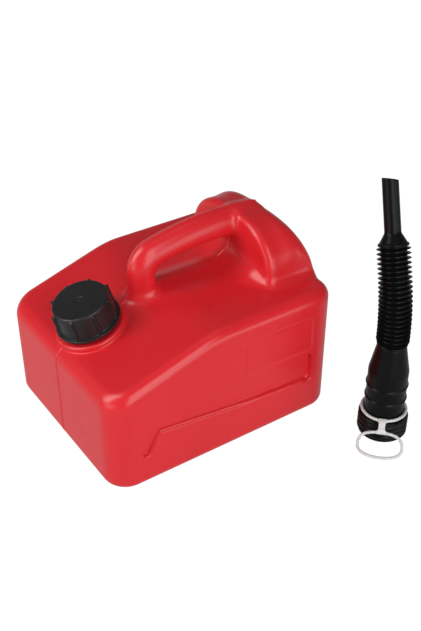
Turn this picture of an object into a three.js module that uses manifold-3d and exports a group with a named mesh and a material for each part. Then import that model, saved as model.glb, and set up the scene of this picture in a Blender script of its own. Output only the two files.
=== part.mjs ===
// Portable fuel can with a moulded carrying handle, a screw cap, a flexible pouring spout and its tether.
// Millimetres. X runs from the cap end to the humped end, Z is up, and the can rests on Z = 0.
import * as THREE from 'three';
import { mergeVertices } from 'three/addons/utils/BufferGeometryUtils.js';
import Module from 'manifold-3d';

const wasm = await Module();
wasm.setup();

const tank = {
  length: 240,
  width: 200.6,
  frontHeight: 98.4, // top face where it would meet the front wall
  deckHeight: 131.6, // level top behind the kink
  kinkSetback: 106.6, // from the front wall to where the sloping top meets the level deck
  kinkBlend: 14, // half length over which that kink is rounded
  cornerRadius: 23, // upright corners
  footRadius: 8.4, // edge round the underside
  rimRadius: 11.3, // edge round the top
  wall: 2.5,
};

const hump = {
  rearGap: 1.5, // from its rearmost point to the rear wall
  length: 52.5,
  backLength: 28.5, // stretch over which its top curves down to the rear
  halfWidth: 65.3,
  height: 51.4, // above the deck
  frontEdgeRadius: 8.5,
  footRadius: 10, // fillet between its sides and the deck, at its front
  rearFootRadius: 13, // the same at its rear
  rampRadius: 18, // fillet between its front face and the deck
  rootDepth: 5, // how far its solid runs down inside the can's wall
  frontRoundness: 2.2, // superellipse exponents: 2 is an ellipse, larger is squarer
  rearRoundness: 3.4,
  backRoundness: 2.1,
};

const grip = {
  postSetback: 90.4, // centre line of the front post behind the front wall
  postThickness: 24.6,
  thickness: 26.8, // of the bar at its crest
  width: 25,
  bendRadius: 17.2, // of the centre line between post and bar
  crestLead: 21, // of its highest point ahead of the hump's front face
  crestHeight: 173.7, // centre line at its highest
  crestRadius: 246, // of the long arc of the bar
  rootDepth: 12, // how far the post runs down below the deck
  overlap: 18, // how far the bar runs into the hump
  roundness: 2.6,
};

const channel = {
  depth: 2.4, // recess pressed into both long sides
  frontInset: 28, // from the front wall
  shoulderInset: 33.5,
  kinkInset: 47,
  tipFrontInset: 29,
  tipRearInset: 34,
  slotFrontInset: 35.5, // from the rear wall
  slotRearInset: 27,
  heelInset: 31.5,
  bendX: 20, // where its long run turns level
  frontTopZ: 65,
  topZ: 69,
  bendTopZ: 60,
  bendBottomZ: 44.6,
  kinkZ: 55.3,
  tipZ: 33,
  slotTopZ: 70.5,
  slotShoulderZ: 66.5,
  rearTopZ: 56.5,
  rearBottomZ: 40.5,
  heelZ: 37.5,
};

const thread = {
  pitch: 5.4,
  coreRadius: 20, // outside of the neck between its threads
  crestRadius: 21.3, // outside of the neck's thread
  rootHalf: 1.4, // half the ridge's height where it leaves the wall
  crestHalf: 0.7, // and at its crest
  sink: 0.6, // how far a ridge is rooted in its wall
  playRadial: 0.5, // clearance between a thread and its mate
};

const neck = {
  setback: 37.8, // foot of the neck's axis behind the front wall
  bossRadius: 32.6,
  bossHeight: 5, // above the sloping top
  bossEdge: 2.4,
  bossRoot: 3.5, // how far the boss reaches back toward the cavity
  height: 28.6, // rim above the sloping top
  boreRadius: 17.2,
  threadStart: 13.4,
  threadTurns: 1.75,
};

const cap = {
  baseHeight: 8.6, // lower rim above the sloping top
  flangeRadius: 30,
  flangeThickness: 2.2,
  footRadius: 27.2, // of the skirt just above the flange
  topRadius: 25.9, // of the skirt at its top edge
  edge: 2.1, // rounding of the top edge
  height: 24.9, // from lower rim to flat top
  topThickness: 2.5,
  ribs: 8,
  ribRadius: 28.9,
  ribWidth: 2.6,
  ribTopGap: 3.2, // from the ribs' upper ends to the flat top
  ribAngle: -3, // degrees of the first rib, from the uphill side
  threadTurns: 1.5,
};

const seal = {
  thickness: 1.6,
  innerRadius: 17.8,
  outerRadius: 21.2,
};

const spout = {
  standBehind: 14.9, // its axis behind the can's rear wall, where it stands loose
  standBeside: 58.4, // its axis beside the can's long wall
  leanAzimuth: 69, // degrees from +X of the side it leans to
  restBend: 23, // degrees of bend in the bellows as it stands
  wall: 1.6,
  collarHeight: 20.5, // top of the threaded collar
  collarShoulder: 2.6,
  threadDepth: 1.3,
  barrelRadius: 18.5,
  barrelTop: 70.7,
  beadHeights: [40, 54.7],
  beadRadius: 19.6,
  beadHalf: 1.7,
  coneTopRadius: 12.9,
  coneTop: 98.2,
  stepRadius: 14,
  baseTop: 100.8,
};

const bellows = {
  length: 88.6,
  ribs: 21,
  crestRadius: 15,
  rootRadius: 11.8,
  boreRadius: 10.3,
  bendStart: 3, // straight stretch below the bend
  bendLength: 60, // stretch that is bent at rest, the rest is straight
};

const nozzle = {
  length: 59.1,
  collarRadius: 13.6,
  collarHeight: 2.2,
  shoulderRadius: 12.2,
  coneTop: 11,
  radius: 7.3,
  tipRadius: 7.15,
  wall: 1.4,
  tipSlant: 14, // degrees
  slantAzimuth: 107, // degrees from the lean, the side where the tip is high
};

const strap = {
  bandWidth: 3.2,
  bandThickness: 2.4,
  play: 0.7, // radial, round the spout's barrel
  webWidth: 7.2,
  webReach: 25.3, // centre line of the web from the spout's axis, outside the collar
  loopNearHeight: 15,
  loopFarHeight: 4,
  loopHalfWidth: 20.2,
  loopDepth: 22,
  loopNearRoundness: 2.8, // superellipse exponents of the loop's near and far halves
  loopFarRoundness: 2,
  azimuth: -136, // degrees from +X of the loop's side of the spout
};

const clearance = 0.3; // between pieces that touch
const overrun = 1; // how far a cut runs past what it cuts

const steps = {
  corner: 5,
  edge: 3,
  arch: 16,
  foot: 3,
  back: 7,
  bar: 14,
  bend: 5,
  crest: 5,
  round: 40,
  threadTurn: 20,
  spoutRound: 24,
  rowsPerPitch: 5,
  bellowsRound: 8,
  boreEveryRibs: 5,
  strapLoop: 28,
};

const radians = THREE.MathUtils.degToRad;

// Solids

// A closed mesh becomes a solid once its shared points are merged.
function solidFrom(geometry) {
  const bare = geometry.clone();
  bare.deleteAttribute('normal');
  bare.deleteAttribute('uv');
  const merged = mergeVertices(bare, 1e-5);
  const corners = Array.from(merged.index.array);
  const triangles = [];
  for (let i = 0; i < corners.length; i += 3) {
    const [a, b, c] = corners.slice(i, i + 3);
    if (a !== b && b !== c && c !== a) triangles.push(a, b, c);
  }
  const points = merged.attributes.position.array;
  if (signedVolume(points, triangles) < 0) triangles.reverse();
  return new wasm.Manifold(new wasm.Mesh({
    numProp: 3,
    vertProperties: Float32Array.from(points),
    triVerts: Uint32Array.from(triangles),
  }));
}

function signedVolume(points, triangles) {
  const corner = (i) => new THREE.Vector3().fromArray(points, 3 * triangles[i]);
  let volume = 0;
  for (let i = 0; i < triangles.length; i += 3) {
    volume += corner(i).dot(corner(i + 1).cross(corner(i + 2))) / 6;
  }
  return volume;
}

function geometryFrom(solid) {
  const mesh = solid.getMesh();
  const geometry = new THREE.BufferGeometry();
  geometry.setAttribute('position', new THREE.BufferAttribute(Float32Array.from(mesh.vertProperties), 3));
  geometry.setIndex(Array.from(mesh.triVerts));
  geometry.computeVertexNormals();
  return geometry;
}

function indexedGeometry(rings, index) {
  const geometry = new THREE.BufferGeometry();
  const coordinates = rings.flat().flatMap((point) => point.toArray());
  geometry.setAttribute('position', new THREE.Float32BufferAttribute(coordinates, 3));
  geometry.setIndex(index);
  return geometry;
}

function bandBetween(index, from, to, count) {
  for (let j = 0; j < count; j += 1) {
    const next = (j + 1) % count;
    index.push(from + j, from + next, to + next, from + j, to + next, to + j);
  }
}

// A skin over rings of equal count. Both ends are closed by strips between each point and its mirror image.
function loft(rings) {
  const count = rings[0].length;
  const index = [];
  rings.slice(1).forEach((_, i) => bandBetween(index, i * count, (i + 1) * count, count));
  const last = (rings.length - 1) * count;
  for (let j = 0; j < count / 2 - 1; j += 1) {
    const mate = count - 1 - j;
    index.push(j, mate, mate - 1, j, mate - 1, j + 1);
    index.push(last + j, last + mate - 1, last + mate, last + j, last + j + 1, last + mate - 1);
  }
  return indexedGeometry(rings, index);
}

// A skin over rings that come back to the first one, as on a tube with a wall.
function closedLoft(rings) {
  const count = rings[0].length;
  const index = [];
  rings.forEach((_, i) => bandBetween(index, i * count, ((i + 1) % rings.length) * count, count));
  return indexedGeometry(rings, index);
}

function latheSolid(profile, segments) {
  const points = profile.map(([radius, height]) => new THREE.Vector2(radius, height));
  return solidFrom(new THREE.LatheGeometry(points, segments).rotateX(Math.PI / 2));
}

// Points of a quarter round between two axis directions of a profile: shares of the radius, out and up.
function quarterShares(count) {
  return Array.from({ length: count + 1 }, (_, i) => {
    const angle = (i / count) * (Math.PI / 2);
    return [Math.sin(angle), Math.cos(angle)];
  });
}

const signedPower = (value, exponent) => Math.sign(value) * Math.abs(value) ** exponent;

// Can

const frontX = -tank.length / 2;
const rearX = tank.length / 2;
const kinkX = frontX + tank.kinkSetback;
const humpRearX = rearX - hump.rearGap;
const humpFrontX = humpRearX - hump.length;
const deckSlope = Math.atan((tank.deckHeight - tank.frontHeight) / tank.kinkSetback);

// Height of the top face: a slope, then a level deck, with a parabola round the kink.
function deckAt(x) {
  const rise = Math.tan(deckSlope);
  const past = x - kinkX + tank.kinkBlend;
  if (past <= 0) return tank.deckHeight + rise * (x - kinkX);
  if (past >= 2 * tank.kinkBlend) return tank.deckHeight;
  return tank.deckHeight - rise * tank.kinkBlend + rise * past - rise * past ** 2 / (4 * tank.kinkBlend);
}

// Plan outline of the can, drawn in by an inset, near half then its mirror image.
function planOutline(inset) {
  const halfLength = tank.length / 2;
  const halfWidth = tank.width / 2;
  const radius = tank.cornerRadius - inset;
  const arc = (x, start) => Array.from({ length: steps.corner + 1 }, (_, i) => {
    const angle = start + (i / steps.corner) * (Math.PI / 2);
    return [x + radius * Math.cos(angle), tank.cornerRadius - halfWidth + radius * Math.sin(angle)];
  });
  const kink = [-1, -0.5, 0, 0.5, 1].map((share) => [kinkX + share * tank.kinkBlend, inset - halfWidth]);
  const near = [
    ...arc(tank.cornerRadius - halfLength, Math.PI),
    ...kink,
    ...arc(halfLength - tank.cornerRadius, 1.5 * Math.PI),
  ];
  const far = near.map(([x, y]) => [x, -y]).reverse();
  return [...near, ...far];
}

function bodySolid(inset) {
  const ring = (drawIn, heightAt) => planOutline(inset + drawIn).map(([x, y]) => {
    return new THREE.Vector3(x, y, heightAt(x));
  });
  const foot = tank.footRadius - inset;
  const rim = tank.rimRadius - inset;
  const shares = quarterShares(steps.edge);
  const rings = shares.map(([out, up]) => ring(foot * (1 - out), () => inset + foot * (1 - up)));
  shares.forEach(([out, up]) => {
    rings.push(ring(rim * (1 - up), (x) => deckAt(x) - inset - rim * (1 - out)));
  });
  return solidFrom(loft(rings));
}

// Height of the top face where its rounded edge falls off toward the rear wall.
function deckEdgeAt(x) {
  const past = Math.max(0, x - (tank.length / 2 - tank.rimRadius));
  return deckAt(x) - tank.rimRadius + Math.sqrt(tank.rimRadius ** 2 - past ** 2);
}

// Arch across the can at one station: a superellipse that ends in a fillet on each side.
function archRing({ x, halfWidth, height, roundness, rootDepth, footRadius }) {
  const foot = Math.min(footRadius, height / 2);
  const start = Math.asin((foot / height) ** (roundness / 2));
  const arch = Array.from({ length: steps.arch }, (_, i) => {
    const angle = start + (i / (steps.arch - 1)) * (Math.PI - 2 * start);
    const y = halfWidth * signedPower(Math.cos(angle), 2 / roundness);
    const z = tank.deckHeight + height * signedPower(Math.sin(angle), 2 / roundness);
    return new THREE.Vector3(x, y, z);
  });
  const base = deckEdgeAt(x) - clearance;
  const side = arch[0].y;
  const fillet = quarterShares(steps.foot).slice(0, -1).map(([out, up]) => {
    return [side + foot * (1 - out), base + foot * (1 - up)];
  });
  const farFoot = [[side + foot, base - rootDepth], ...fillet];
  return [
    ...farFoot.map(([y, z]) => new THREE.Vector3(x, y, z)),
    ...arch,
    ...farFoot.reverse().map(([y, z]) => new THREE.Vector3(x, -y, z)),
  ];
}

function humpSolid(inset, rootDepth, footRadius) {
  const radius = hump.frontEdgeRadius - inset;
  const halfWidth = hump.halfWidth - inset;
  const height = hump.height - inset;
  const front = { roundness: hump.frontRoundness, rootDepth, footRadius };
  const ramp = inset > 0 ? [] : quarterShares(steps.foot).slice(0, -1);
  const rings = ramp.map(([out, up]) => archRing({
    ...front,
    x: humpFrontX - hump.rampRadius * (1 - out),
    halfWidth: halfWidth - radius,
    height: hump.rampRadius * (1 - up) + clearance,
  }));
  quarterShares(steps.edge).forEach(([out, up]) => {
    const drawIn = radius * (1 - out);
    const x = humpFrontX + inset + radius * (1 - up);
    rings.push(archRing({ ...front, x, halfWidth: halfWidth - drawIn, height: height - drawIn }));
  });
  const backStart = humpRearX - hump.backLength;
  const lowest = 0.12;
  for (let i = 0; i <= steps.back; i += 1) {
    const share = Math.sin((i / steps.back) * (Math.PI / 2)) * (1 - lowest / steps.back);
    const fall = (1 - share ** hump.backRoundness) ** (1 / hump.backRoundness);
    const roundness = hump.frontRoundness + (hump.rearRoundness - hump.frontRoundness) * share;
    const x = backStart + share * (hump.backLength - inset);
    const foot = inset > 0 ? footRadius : footRadius + (hump.rearFootRadius - footRadius) * share;
    rings.push(archRing({ x, halfWidth, height: height * fall, roundness, rootDepth, footRadius: foot }));
  }
  return solidFrom(loft(rings));
}

// Centre line of the handle: an upright post, a tight bend, then one long arc over the crest.
function gripStations(rootDepth) {
  const reach = grip.crestRadius - grip.bendRadius;
  const postX = frontX + grip.postSetback;
  const crestX = humpFrontX - grip.crestLead;
  const bendX = postX + grip.bendRadius;
  const bendZ = grip.crestHeight - grip.crestRadius + Math.sqrt(reach ** 2 - (bendX - crestX) ** 2);
  const joinHeading = Math.asin((crestX - bendX) / reach);
  const endX = humpFrontX + grip.overlap;
  const endHeading = Math.asin((crestX - endX) / grip.crestRadius);
  const stations = [{
    x: postX, z: tank.deckHeight - rootDepth, heading: Math.PI / 2, thickness: grip.postThickness,
  }];
  for (let i = 0; i <= steps.bend; i += 1) {
    const heading = Math.PI / 2 + (i / steps.bend) * (joinHeading - Math.PI / 2);
    stations.push({
      x: bendX - grip.bendRadius * Math.sin(heading),
      z: bendZ + grip.bendRadius * Math.cos(heading),
      heading,
      thickness: grip.postThickness,
    });
  }
  for (let i = 1; i <= steps.crest; i += 1) {
    const share = i / steps.crest;
    const heading = joinHeading + share * (endHeading - joinHeading);
    stations.push({
      x: crestX - grip.crestRadius * Math.sin(heading),
      z: grip.crestHeight - grip.crestRadius * (1 - Math.cos(heading)),
      heading,
      thickness: grip.postThickness + share * (grip.thickness - grip.postThickness),
    });
  }
  return stations;
}

function gripSolid(inset, rootDepth) {
  const rings = gripStations(rootDepth).map(({ x, z, heading, thickness }) => {
    const up = new THREE.Vector3(-Math.sin(heading), 0, Math.cos(heading));
    return Array.from({ length: steps.bar }, (_, j) => {
      const angle = -Math.PI / 2 + ((j + 0.5) / steps.bar) * 2 * Math.PI;
      const across = (grip.width / 2 - inset) * signedPower(Math.cos(angle), 2 / grip.roundness);
      const above = (thickness / 2 - inset) * signedPower(Math.sin(angle), 2 / grip.roundness);
      return new THREE.Vector3(x, across, z).addScaledVector(up, above);
    });
  });
  return solidFrom(loft(rings));
}

// Recess pressed into the long sides: a leg at the front, a long run and an upright slot at the rear.
function channelOutline() {
  const c = channel;
  return [
    [frontX + c.tipFrontInset, c.tipZ],
    [frontX + c.tipRearInset, c.tipZ],
    [frontX + c.kinkInset, c.kinkZ],
    [c.bendX, c.bendBottomZ],
    [rearX - c.slotFrontInset, c.rearBottomZ],
    [rearX - c.heelInset, c.heelZ],
    [rearX - c.slotRearInset, c.rearBottomZ],
    [rearX - c.slotRearInset, c.slotShoulderZ],
    [rearX - c.heelInset, c.slotTopZ],
    [rearX - c.slotFrontInset, c.slotShoulderZ],
    [rearX - c.slotFrontInset, c.rearTopZ],
    [c.bendX, c.bendTopZ],
    [frontX + c.shoulderInset, c.topZ],
    [frontX + c.frontInset, c.frontTopZ],
  ];
}

// One block per long side. Spread and depth make the cut, or the thicker block that keeps the wall behind it.
function channelBlocks(spread, depth) {
  const shape = new THREE.Shape(channelOutline().map(([x, z]) => new THREE.Vector2(x, z)));
  const block = new THREE.ExtrudeGeometry(shape, {
    depth: depth + overrun,
    bevelEnabled: spread > 0,
    bevelSize: spread,
    bevelThickness: spread,
    bevelSegments: 1,
  });
  // the outline's second axis turns from Y to Z, and its depth runs toward -Y
  block.rotateX(Math.PI / 2);
  const near = block.clone().translate(0, depth - tank.width / 2, 0);
  const far = near.clone().scale(1, -1, 1);
  return solidFrom(near).add(solidFrom(far));
}

// Neck frame: its origin is the foot of the neck's axis on the sloping top, its Z the neck's axis.
const neckFoot = new THREE.Vector3(frontX + neck.setback, 0, 0);
neckFoot.z = deckAt(neckFoot.x);

function placeOnNeck(object) {
  object.position.copy(neckFoot);
  object.rotation.y = -deckSlope;
  object.updateMatrix();
  return object;
}

const neckMatrix = placeOnNeck(new THREE.Object3D()).matrix;

// Helical ridge from a root radius to a crest radius, fading in and out over an eighth of a turn.
function ridgeGeometry(rootRadius, crestRadius, startHeight, turns) {
  const outward = crestRadius > rootRadius;
  const count = Math.round(turns * steps.threadTurn);
  const fade = 1 / 8;
  const rings = Array.from({ length: count + 1 }, (_, i) => {
    const turn = (i / count) * turns;
    const strength = Math.min(1, 0.3 + Math.min(turn, turns - turn) / fade);
    const crest = rootRadius + (crestRadius - rootRadius) * strength;
    const angle = 2 * Math.PI * turn;
    const z = startHeight + thread.pitch * turn;
    const section = [
      [rootRadius, -thread.rootHalf],
      [rootRadius, thread.rootHalf],
      [crest, thread.crestHalf],
      [crest, -thread.crestHalf],
    ];
    if (!outward) section.reverse();
    return section.map(([radius, height]) => {
      return new THREE.Vector3(radius * Math.cos(angle), radius * Math.sin(angle), z + height);
    });
  });
  return loft(rings);
}

function neckSolid() {
  const { bossRadius, bossHeight, bossEdge, bossRoot } = neck;
  const edge = quarterShares(steps.edge).map(([out, up]) => {
    return [bossRadius - bossEdge * (1 - out), bossHeight - bossEdge * (1 - up)];
  });
  const profile = [
    [0, -bossRoot],
    [bossRadius, -bossRoot],
    ...edge.reverse(),
    [thread.coreRadius, bossHeight],
    [thread.coreRadius, neck.height],
    [0, neck.height],
  ];
  const ridge = ridgeGeometry(
    thread.coreRadius - thread.sink, thread.crestRadius, neck.threadStart, neck.threadTurns,
  );
  return latheSolid(profile, steps.round).add(solidFrom(ridge)).transform(neckMatrix.elements);
}

function neckBore() {
  const floor = -neck.bossRoot - 2 * tank.wall;
  const ceiling = neck.height + overrun;
  const profile = [[0, floor], [neck.boreRadius, floor], [neck.boreRadius, ceiling], [0, ceiling]];
  return latheSolid(profile, steps.round).transform(neckMatrix.elements);
}

function tankGeometry() {
  const { wall } = tank;
  const outside = bodySolid(0)
    .add(humpSolid(0, hump.rootDepth, hump.footRadius))
    .add(gripSolid(0, grip.rootDepth))
    .subtract(channelBlocks(0, channel.depth))
    .add(neckSolid());
  const inside = bodySolid(wall)
    .subtract(channelBlocks(wall, channel.depth))
    .add(humpSolid(wall, hump.rootDepth + 2 * wall, wall))
    .add(gripSolid(wall, grip.rootDepth + 2 * wall));
  return geometryFrom(outside.subtract(inside).subtract(neckBore()));
}

// Cap, in the neck frame

function capGeometry() {
  const base = cap.baseHeight;
  const top = base + cap.height;
  const flangeTop = base + cap.flangeThickness;
  const bore = thread.crestRadius + thread.playRadial;
  const ceiling = top - cap.topThickness;
  const edge = quarterShares(steps.edge).map(([out, up]) => {
    return [cap.topRadius - cap.edge * (1 - out), top - cap.edge * (1 - up)];
  });
  const profile = [
    [bore, base],
    [cap.flangeRadius, base],
    [cap.flangeRadius, flangeTop],
    [cap.footRadius, flangeTop],
    ...edge.reverse(),
    [0, top],
    [0, ceiling],
    [bore, ceiling],
    [bore, base],
  ];
  // the outer face of a rib leans in with the skirt
  const ribHeight = cap.height - cap.ribTopGap;
  const ribDepth = cap.ribRadius - bore - thread.sink;
  const lean = Math.atan((cap.footRadius - cap.topRadius) / cap.height);
  let solid = latheSolid(profile, steps.round);
  for (let i = 0; i < cap.ribs; i += 1) {
    const rib = new THREE.BoxGeometry(ribDepth, cap.ribWidth, ribHeight);
    rib.translate(cap.ribRadius - ribDepth / 2, 0, base + ribHeight / 2);
    rib.rotateY(-lean / 2);
    rib.rotateZ(radians(cap.ribAngle) + (i / cap.ribs) * 2 * Math.PI);
    solid = solid.add(solidFrom(rib));
  }
  // the cap's ridge lies half a pitch above the neck's, so the two mesh without touching
  const crest = thread.coreRadius + thread.playRadial;
  const start = neck.threadStart - thread.pitch / 2;
  const ridge = ridgeGeometry(bore + thread.sink, crest, start, cap.threadTurns);
  return geometryFrom(solid.add(solidFrom(ridge)));
}

function sealGeometry() {
  const low = neck.height + clearance;
  const high = low + seal.thickness;
  return geometryFrom(latheSolid([
    [seal.innerRadius, low],
    [seal.outerRadius, low],
    [seal.outerRadius, high],
    [seal.innerRadius, high],
    [seal.innerRadius, low],
  ], steps.round));
}

// Spout, in its own frame: Z up its axis from the floor, X toward the side it leans to

function circleRing(count, radiusAt, heightAt) {
  return Array.from({ length: count }, (_, j) => {
    const angle = (j / count) * 2 * Math.PI;
    const radius = radiusAt(angle);
    return new THREE.Vector3(radius * Math.cos(angle), radius * Math.sin(angle), heightAt(angle));
  });
}

// Share from 0 in a groove to 1 on a crest of the collar's thread, faded out at both of its ends.
function collarWave(angle, z) {
  const fade = thread.pitch / 4;
  const strength = Math.min(1, z / fade, (spout.collarHeight - z) / fade);
  const phase = z / thread.pitch - angle / (2 * Math.PI);
  return Math.max(0, strength) * (0.5 - 0.5 * Math.cos(2 * Math.PI * phase));
}

function spoutBaseGeometry() {
  const s = spout;
  const crest = thread.crestRadius + thread.playRadial + s.wall;
  const groove = crest - s.threadDepth;
  const plain = (radius, z) => circleRing(steps.spoutRound, () => radius, () => z);
  const rowGap = thread.pitch / steps.rowsPerPitch;
  const rowCount = Math.round(s.collarHeight / rowGap);
  const collar = (inset) => Array.from({ length: rowCount + 1 }, (_, i) => {
    const z = (i / rowCount) * s.collarHeight;
    const radiusAt = (angle) => groove - inset + s.threadDepth * collarWave(angle, z);
    return circleRing(steps.spoutRound, radiusAt, () => z);
  });
  const shoulderTop = s.collarHeight + s.collarShoulder;
  const beads = s.beadHeights.flatMap((z) => [
    plain(s.barrelRadius, z - s.beadHalf),
    plain(s.beadRadius, z - s.beadHalf / 3),
    plain(s.beadRadius, z + s.beadHalf / 3),
    plain(s.barrelRadius, z + s.beadHalf),
  ]);
  const stepHeight = s.baseTop - s.coneTop;
  const outer = [
    ...collar(0),
    plain(s.barrelRadius, shoulderTop),
    ...beads,
    plain(s.barrelRadius, s.barrelTop),
    plain(s.coneTopRadius, s.coneTop),
    plain(s.stepRadius, s.coneTop + stepHeight / 4),
    plain(s.stepRadius, s.baseTop - stepHeight / 4),
    plain(s.coneTopRadius, s.baseTop),
  ];
  const inner = [
    ...collar(s.wall),
    plain(s.barrelRadius - s.wall, shoulderTop),
    plain(s.barrelRadius - s.wall, s.barrelTop),
    plain(bellows.boreRadius, s.coneTop),
    plain(bellows.boreRadius, s.baseTop),
  ];
  return geometryFrom(solidFrom(closedLoft([...outer, ...inner.reverse()])));
}

const bellowsStart = spout.baseTop + clearance;
const bendRadius = bellows.bendLength / radians(spout.restBend);

// Place and heading of the spout's centre line at a distance along the bellows.
function bellowsStation(distance) {
  const along = THREE.MathUtils.clamp(distance - bellows.bendStart, 0, bellows.bendLength);
  const heading = along / bendRadius;
  const point = new THREE.Vector3(
    bendRadius * (1 - Math.cos(heading)), 0, bellowsStart + bellows.bendStart + bendRadius * Math.sin(heading),
  );
  const straight = distance - bellows.bendStart - along;
  const direction = new THREE.Vector3(Math.sin(heading), 0, Math.cos(heading));
  return { point: point.addScaledVector(direction, straight), heading };
}

function bellowsGeometry() {
  const ribGap = bellows.length / bellows.ribs;
  const ringAt = (distance, radius) => {
    const { point, heading } = bellowsStation(distance);
    const turn = new THREE.Matrix4().makeRotationY(heading);
    const ring = circleRing(steps.bellowsRound, () => radius, () => 0);
    return ring.map((corner) => corner.applyMatrix4(turn).add(point));
  };
  const outer = [ringAt(0, bellows.rootRadius)];
  for (let i = 0; i < bellows.ribs; i += 1) {
    outer.push(ringAt((i + 0.5) * ribGap, bellows.crestRadius));
    outer.push(ringAt((i + 1) * ribGap, bellows.rootRadius));
  }
  const bore = [];
  for (let i = 0; i < bellows.ribs; i += steps.boreEveryRibs) {
    bore.push(ringAt(i * ribGap, bellows.boreRadius));
  }
  bore.push(ringAt(bellows.length, bellows.boreRadius));
  return geometryFrom(solidFrom(closedLoft([...outer, ...bore.reverse()])));
}

// Nozzle, in a frame at the top of the bellows with Z along its own axis
function nozzleGeometry() {
  const n = nozzle;
  const slant = Math.tan(radians(n.tipSlant));
  const plain = (radius, z) => circleRing(steps.spoutRound, () => radius, () => z);
  const tip = (radius) => circleRing(steps.spoutRound, () => radius, (angle) => {
    return n.length - n.tipRadius * slant + radius * slant * Math.cos(angle - radians(n.slantAzimuth));
  });
  const outer = [
    plain(n.shoulderRadius, 0),
    plain(n.collarRadius, n.collarHeight / 4),
    plain(n.collarRadius, n.collarHeight),
    plain(n.shoulderRadius, n.collarHeight + n.collarHeight / 4),
    plain(n.radius, n.coneTop),
    tip(n.tipRadius),
  ];
  const inner = [
    plain(bellows.boreRadius, 0),
    plain(bellows.boreRadius, n.collarHeight),
    plain(n.radius - n.wall, n.coneTop),
    tip(n.tipRadius - n.wall),
  ];
  return geometryFrom(solidFrom(closedLoft([...outer, ...inner.reverse()])));
}

// Tether strap, in the spout's upright frame with X toward its free loop

function bandSection(centre, across, up, width, thickness) {
  const corners = [[-1, -1], [1, -1], [1, 1], [-1, 1]];
  return corners.map(([a, b]) => centre.clone()
    .addScaledVector(across, (a * width) / 2)
    .addScaledVector(up, (b * thickness) / 2));
}

function strapGeometry() {
  const low = spout.collarHeight + spout.collarShoulder + clearance;
  const high = low + strap.bandThickness;
  const inner = spout.barrelRadius + strap.play;
  const outer = inner + strap.bandWidth;
  const ring = latheSolid([[inner, low], [outer, low], [outer, high], [inner, high], [inner, low]], steps.round);

  // web: out over the collar's edge, then down to the free loop
  const middle = (low + high) / 2;
  const side = new THREE.Vector3(0, 1, 0);
  const webStops = [
    [inner + strap.bandWidth / 3, middle, 0],
    [strap.webReach - strap.bandThickness / 2, middle, -35],
    [strap.webReach, middle - strap.bandWidth / 2, -75],
    [strap.webReach + strap.bandThickness / 2, strap.loopNearHeight, -70],
  ];
  const web = webStops.map(([x, z, pitch]) => {
    const up = new THREE.Vector3(-Math.sin(radians(pitch)), 0, Math.cos(radians(pitch)));
    return bandSection(new THREE.Vector3(x, 0, z), side, up, strap.webWidth, strap.bandThickness);
  });

  // free loop: an oval, flatter on the side of the web, that leans down away from the collar
  const nearX = strap.webReach + strap.bandThickness / 2;
  const fall = strap.loopNearHeight - strap.loopFarHeight;
  const lean = Math.atan(fall / strap.loopDepth);
  const loop = Array.from({ length: steps.strapLoop }, (_, i) => {
    const angle = (i / steps.strapLoop) * 2 * Math.PI;
    const roundness = Math.cos(angle) > 0 ? strap.loopNearRoundness : strap.loopFarRoundness;
    const share = 0.5 - 0.5 * signedPower(Math.cos(angle), 2 / roundness);
    const centre = new THREE.Vector3(
      nearX + strap.loopDepth * share,
      strap.loopHalfWidth * signedPower(Math.sin(angle), 2 / roundness),
      strap.loopNearHeight - fall * Math.sin((share * Math.PI) / 2),
    );
    const outward = new THREE.Vector3(
      -signedPower(Math.cos(angle), 2 - 2 / roundness) * strap.loopHalfWidth,
      signedPower(Math.sin(angle), 2 - 2 / roundness) * (strap.loopDepth / 2),
      0,
    ).normalize();
    const up = new THREE.Vector3(Math.sin(lean) * (1 - share), 0, Math.cos(lean * (1 - share)));
    return bandSection(centre, outward, up.normalize(), strap.bandWidth, strap.bandThickness);
  });
  const solid = ring.add(solidFrom(loft(web))).add(solidFrom(closedLoft(loop)));
  return geometryFrom(solid);
}

// Assembly

function piece(name, geometry, color, roughness) {
  const material = new THREE.MeshStandardMaterial({ color, roughness, metalness: 0 });
  const mesh = new THREE.Mesh(geometry, material);
  mesh.name = name;
  return mesh;
}

const red = 0xd2252c;
const black = 0x1b1c1e;
const white = 0xeeeeec;

const neckGroup = placeOnNeck(new THREE.Group());
neckGroup.add(piece('screw_cap', capGeometry(), black, 0.45));
neckGroup.add(piece('cap_seal', sealGeometry(), 0x3a3a3c, 0.8));

const nozzleEnd = bellowsStation(bellows.length);
const nozzleMesh = piece('spout_nozzle', nozzleGeometry(), black, 0.4);
const nozzleAxis = new THREE.Vector3(Math.sin(nozzleEnd.heading), 0, Math.cos(nozzleEnd.heading));
nozzleMesh.position.copy(nozzleEnd.point).addScaledVector(nozzleAxis, clearance);
nozzleMesh.rotation.y = nozzleEnd.heading;

const spoutFoot = new THREE.Vector3(rearX + spout.standBehind, -tank.width / 2 - spout.standBeside, 0);
const spoutGroup = new THREE.Group();
spoutGroup.position.copy(spoutFoot);
spoutGroup.rotation.z = radians(spout.leanAzimuth);
spoutGroup.add(piece('spout_base', spoutBaseGeometry(), black, 0.4));
spoutGroup.add(piece('spout_bellows', bellowsGeometry(), black, 0.4));
spoutGroup.add(nozzleMesh);

const strapMesh = piece('tether_strap', strapGeometry(), white, 0.5);
strapMesh.position.copy(spoutFoot);
strapMesh.rotation.z = radians(strap.azimuth);

const fuelCan = new THREE.Group();
fuelCan.add(piece('tank_body', tankGeometry(), red, 0.42));
fuelCan.add(neckGroup, spoutGroup, strapMesh);

export default fuelCan;
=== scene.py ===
from math import atan, cos, pi, radians, sin, sqrt

import bmesh
import bpy
import numpy as np
from mathutils import Matrix, Vector


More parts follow.
